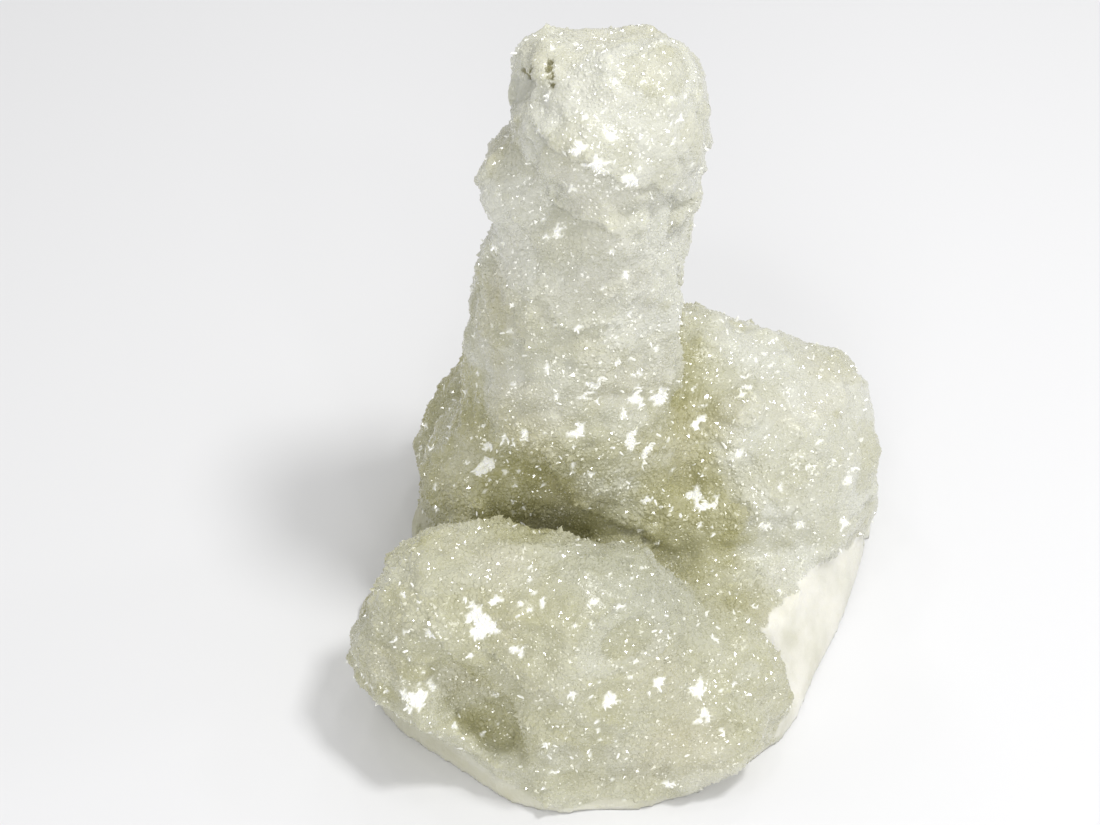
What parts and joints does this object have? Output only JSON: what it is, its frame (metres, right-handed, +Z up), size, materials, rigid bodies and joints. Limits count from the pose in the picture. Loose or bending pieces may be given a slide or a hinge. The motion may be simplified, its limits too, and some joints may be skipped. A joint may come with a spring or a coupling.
{
  "type": "quartz crystal",
  "caption": "Stalactite-shaped quartz specimen: a knobbed column rising from rounded lobes, all covered in a druse of small crystal points, sawn flat underneath to stand on a shelf.",
  "frame": {"origin": "middle of the bounding box's bottom face, on the sawn face that the stone rests on", "axes": "+Z up along the column, -Y towards the pillow-shaped lobe at the front, +X towards the dome and the ground flat on the right"},
  "size_m": [0.1378, 0.1472, 0.1613],
  "materials": {
    "quartz": "milky translucent grey-green quartz, sugary with small bright crystal faces"
  },
  "bodies": {
    "root": {"quartz_crystal": "quartz"}
  },
  "joints": []
}
